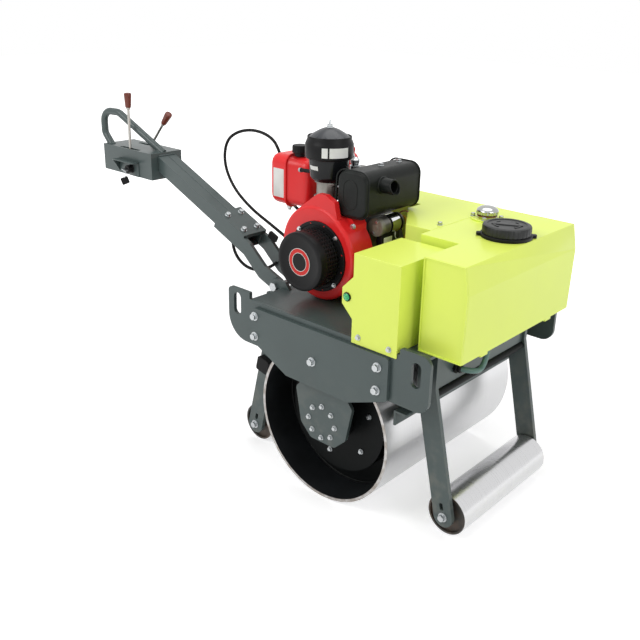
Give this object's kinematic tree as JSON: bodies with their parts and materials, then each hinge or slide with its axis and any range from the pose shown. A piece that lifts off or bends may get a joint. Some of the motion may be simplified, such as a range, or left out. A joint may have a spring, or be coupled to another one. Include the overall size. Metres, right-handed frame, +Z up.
{
  "type": "walk-behind single-drum vibratory road roller",
  "caption": "Pedestrian single-drum vibratory road roller with an open diesel engine, water tank, grey plate frame, support rollers and a hinged tow handle with a control box.",
  "frame": {"origin": "on the floor, in the middle of the machine's length and width", "axes": "+X forward towards the water tank, +Y to the machine's left, +Z up"},
  "size_m": [1.458, 0.61, 0.944],
  "materials": {
    "grey_paint": "grey enamel",
    "lime_paint": "lime enamel",
    "red_paint": "red enamel",
    "black_paint": "black enamel",
    "drum_steel": "turned steel",
    "zinc": "zinc plated",
    "cast_aluminium": "as cast",
    "chrome": "polished",
    "black_plastic": "moulded",
    "black_rubber": "moulded",
    "green_lens": "clear green",
    "clear_hose": "tinted",
    "knob_brown": "brown knobs on steel rods"
  },
  "bodies": {
    "frame": {"deck": "grey_paint", "side_plate_right": "grey_paint", "side_plate_left": "grey_paint", "outer_plate_right": "grey_paint", "outer_plate_left": "grey_paint", "hangers": "grey_paint", "front_legs": "grey_paint", "rear_legs": "grey_paint", "front_cross_plate": "grey_paint", "hinge_lugs": "grey_paint", "scraper_bar": "grey_paint", "water_tank": "lime_paint", "belt_guard": "lime_paint", "battery_box": "lime_paint", "blower_housing": "red_paint", "fuel_tank": "red_paint", "bearing_housings": "black_paint", "engine_rails": "black_paint", "muffler": "black_paint", "spray_tube": "black_paint", "front_axle": "zinc", "rear_axle": "zinc", "hinge_bolt": "zinc", "crankcase": "cast_aluminium", "cylinder": "cast_aluminium", "starter_motor": "cast_aluminium", "breather_cap": "chrome", "water_cap": "black_plastic", "recoil_starter": "black_plastic", "air_filter": "black_plastic", "fuel_cap": "black_plastic", "rubber_mounts": "black_rubber", "leg_stops": "black_rubber", "throttle_cable": "black_rubber", "indicator_lamp": "green_lens", "water_hose": "clear_hose"},
    "drum": {"drum_shell": "drum_steel", "drum_heads": "black_paint"},
    "front_support_roller": {"front_roller": "drum_steel"},
    "rear_support_roller": {"rear_roller": "drum_steel"},
    "handle": {"handle_fork": "grey_paint", "handle_arm": "grey_paint", "control_box": "grey_paint", "handle_loop": "grey_paint", "control_levers": "knob_brown", "key_switch": "black_plastic", "rubber_stop": "black_rubber", "control_cable": "black_rubber"}
  },
  "joints": [
    {"name": "drum_spin", "type": "hinge", "parent": "frame", "child": "drum", "pos_m": [0.337, 0, 0.2125], "axis": [0, 1, 0], "continuous": true},
    {"name": "front_roller_spin", "type": "hinge", "parent": "frame", "child": "front_support_roller", "pos_m": [0.675, 0, 0.062], "axis": [0, 1, 0], "continuous": true},
    {"name": "rear_roller_spin", "type": "hinge", "parent": "frame", "child": "rear_support_roller", "pos_m": [0.018, 0, 0.058], "axis": [0, 1, 0], "continuous": true},
    {"name": "handle_lift", "type": "hinge", "parent": "frame", "child": "handle", "pos_m": [0.065, -0.125, 0.488], "axis": [0, 1, 0], "range_deg": [0, 55]}
  ]
}
